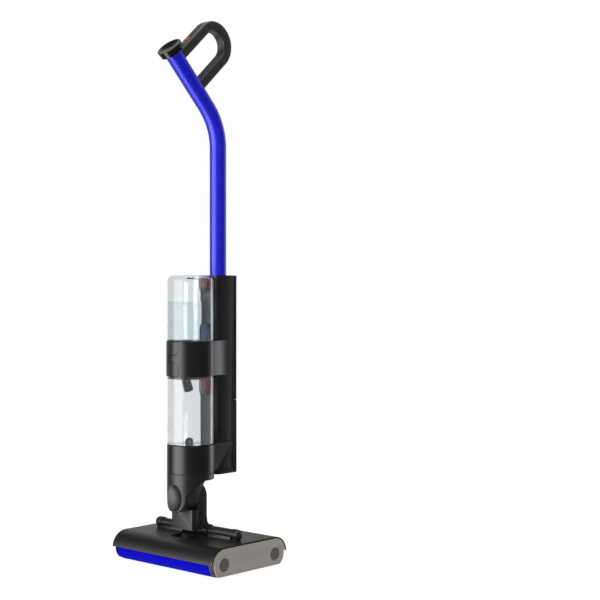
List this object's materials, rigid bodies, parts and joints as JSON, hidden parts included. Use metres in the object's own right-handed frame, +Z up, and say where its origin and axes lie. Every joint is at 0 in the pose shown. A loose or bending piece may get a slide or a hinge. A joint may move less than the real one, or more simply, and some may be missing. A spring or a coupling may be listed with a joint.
{
  "type": "wet dry floor scrubber",
  "caption": "Upright wet dry floor scrubber: twin roller head, tilting and rolling neck, stacked clear tanks on a spine, bent wand with loop handle.",
  "frame": {"origin": "on the floor under the middle of the head", "axes": "+Z up, X along the rollers with the grey end plate on +X, tanks and display face -Y"},
  "size_m": [0.3, 0.2156, 1.1372],
  "materials": {
    "black_plastic": "satin moulded",
    "grey_plastic": "satin moulded",
    "dark_grey_plastic": "textured",
    "rubber": "matt",
    "pale_plastic": "matt",
    "steel": "brushed",
    "red_plastic": "gloss",
    "microfibre": "pile",
    "roller_plastic": "matt",
    "circuit_board": "satin",
    "blue_wand": "anodised satin",
    "gloss_black": "gloss",
    "grip_plastic": "soft touch",
    "teal_plastic": "gloss",
    "cells": "wrapped",
    "clear_plastic": "clear polished",
    "blue_plastic": "gloss"
  },
  "bodies": {
    "head": {"head_shell": "black_plastic", "head_chassis": "black_plastic", "left_end_cap": "black_plastic", "right_end_housing": "black_plastic", "right_end_plate": "grey_plastic", "end_plugs": "dark_grey_plastic", "front_wiper": "rubber", "rear_wiper": "rubber", "front_water_bar": "pale_plastic", "rear_water_bar": "pale_plastic", "front_motor": "steel", "rear_motor": "steel", "head_screws": "steel", "pivot_bar": "black_plastic", "bar_end_left": "black_plastic", "bar_end_right": "black_plastic"},
    "tray_button": {"tray_button": "red_plastic"},
    "tray": {"debris_tray": "black_plastic", "tray_strainer": "dark_grey_plastic"},
    "front_roller": {"front_roller_sleeve": "microfibre", "front_roller_core": "roller_plastic", "front_roller_hubs": "roller_plastic"},
    "rear_roller": {"rear_roller_sleeve": "microfibre", "rear_roller_core": "roller_plastic", "rear_roller_hubs": "roller_plastic"},
    "yoke": {"yoke": "black_plastic", "roll_pin": "steel"},
    "column": {"neck": "black_plastic", "neck_dish": "black_plastic", "base_collar": "black_plastic", "pump": "steel", "mid_collar": "black_plastic", "collar_floor": "black_plastic", "spine_housing": "black_plastic", "rear_cover": "black_plastic", "control_board": "circuit_board", "charging_socket": "black_plastic", "wand_socket": "black_plastic", "wand_tube": "blue_wand", "wand_end_cap": "gloss_black", "display_lens": "gloss_black", "handle_shell_left": "grip_plastic", "handle_shell_right": "grip_plastic", "handle_screws": "steel", "switch_board": "circuit_board"},
    "power_button": {"power_button": "red_plastic"},
    "mode_button": {"mode_button": "teal_plastic"},
    "battery": {"battery_case": "dark_grey_plastic", "battery_cover": "black_plastic", "battery_cells": "cells"},
    "battery_latch": {"battery_latch": "black_plastic"},
    "clean_tank": {"clean_tank": "clear_plastic", "clean_tank_base": "dark_grey_plastic", "clean_tank_valve": "blue_plastic"},
    "clean_catch": {"clean_tank_catch": "red_plastic"},
    "dirty_tank": {"dirty_tank": "clear_plastic", "dirty_tank_lid": "black_plastic", "dirty_tank_spout": "black_plastic", "dirty_tank_post": "dark_grey_plastic"},
    "dirty_catch": {"dirty_tank_catch": "red_plastic"}
  },
  "joints": [
    {"name": "front_roller_spin", "type": "hinge", "parent": "head", "child": "front_roller", "pos_m": [0, -0.073, 0.027], "axis": [1, 0, 0], "continuous": true},
    {"name": "rear_roller_spin", "type": "hinge", "parent": "head", "child": "rear_roller", "pos_m": [0, 0.073, 0.027], "axis": [1, 0, 0], "continuous": true},
    {"name": "tray_slide", "type": "slide", "parent": "head", "child": "tray", "axis": [-1, 0, 0], "range_m": [0, 0.24]},
    {"name": "tray_button_press", "type": "slide", "parent": "head", "child": "tray_button", "axis": [0, 0, -1], "range_m": [0, 0.0015], "stiffness_N_per_m": 600},
    {"name": "neck_tilt", "type": "hinge", "parent": "head", "child": "yoke", "pos_m": [0, -0.003, 0.073], "axis": [1, 0, 0], "range_deg": [0, 38]},
    {"name": "neck_roll", "type": "hinge", "parent": "yoke", "child": "column", "pos_m": [0, -0.028, 0.142], "axis": [0, 1, 0], "range_deg": [-30, 30]},
    {"name": "power_button_press", "type": "slide", "parent": "column", "child": "power_button", "axis": [0, 0.6909, -0.723], "range_m": [0, 0.001], "stiffness_N_per_m": 600},
    {"name": "mode_button_press", "type": "slide", "parent": "column", "child": "mode_button", "axis": [0, 0.6909, -0.723], "range_m": [0, 0.001], "stiffness_N_per_m": 600},
    {"name": "battery_slide", "type": "slide", "parent": "column", "child": "battery", "axis": [0, 1, 0], "range_m": [0, 0.08]},
    {"name": "battery_latch_press", "type": "slide", "parent": "battery", "child": "battery_latch", "axis": [0, -1, 0], "range_m": [0, 0.002], "stiffness_N_per_m": 600},
    {"name": "clean_tank_slide", "type": "slide", "parent": "column", "child": "clean_tank", "axis": [0, -1, 0], "range_m": [0, 0.12]},
    {"name": "clean_catch_press", "type": "slide", "parent": "clean_tank", "child": "clean_catch", "axis": [0, 0, -1], "range_m": [0, 0.003], "stiffness_N_per_m": 400},
    {"name": "dirty_tank_slide", "type": "slide", "parent": "column", "child": "dirty_tank", "axis": [0, -1, 0], "range_m": [0, 0.12]},
    {"name": "dirty_catch_press", "type": "slide", "parent": "dirty_tank", "child": "dirty_catch", "axis": [0, 0, -1], "range_m": [0, 0.003], "stiffness_N_per_m": 400}
  ]
}
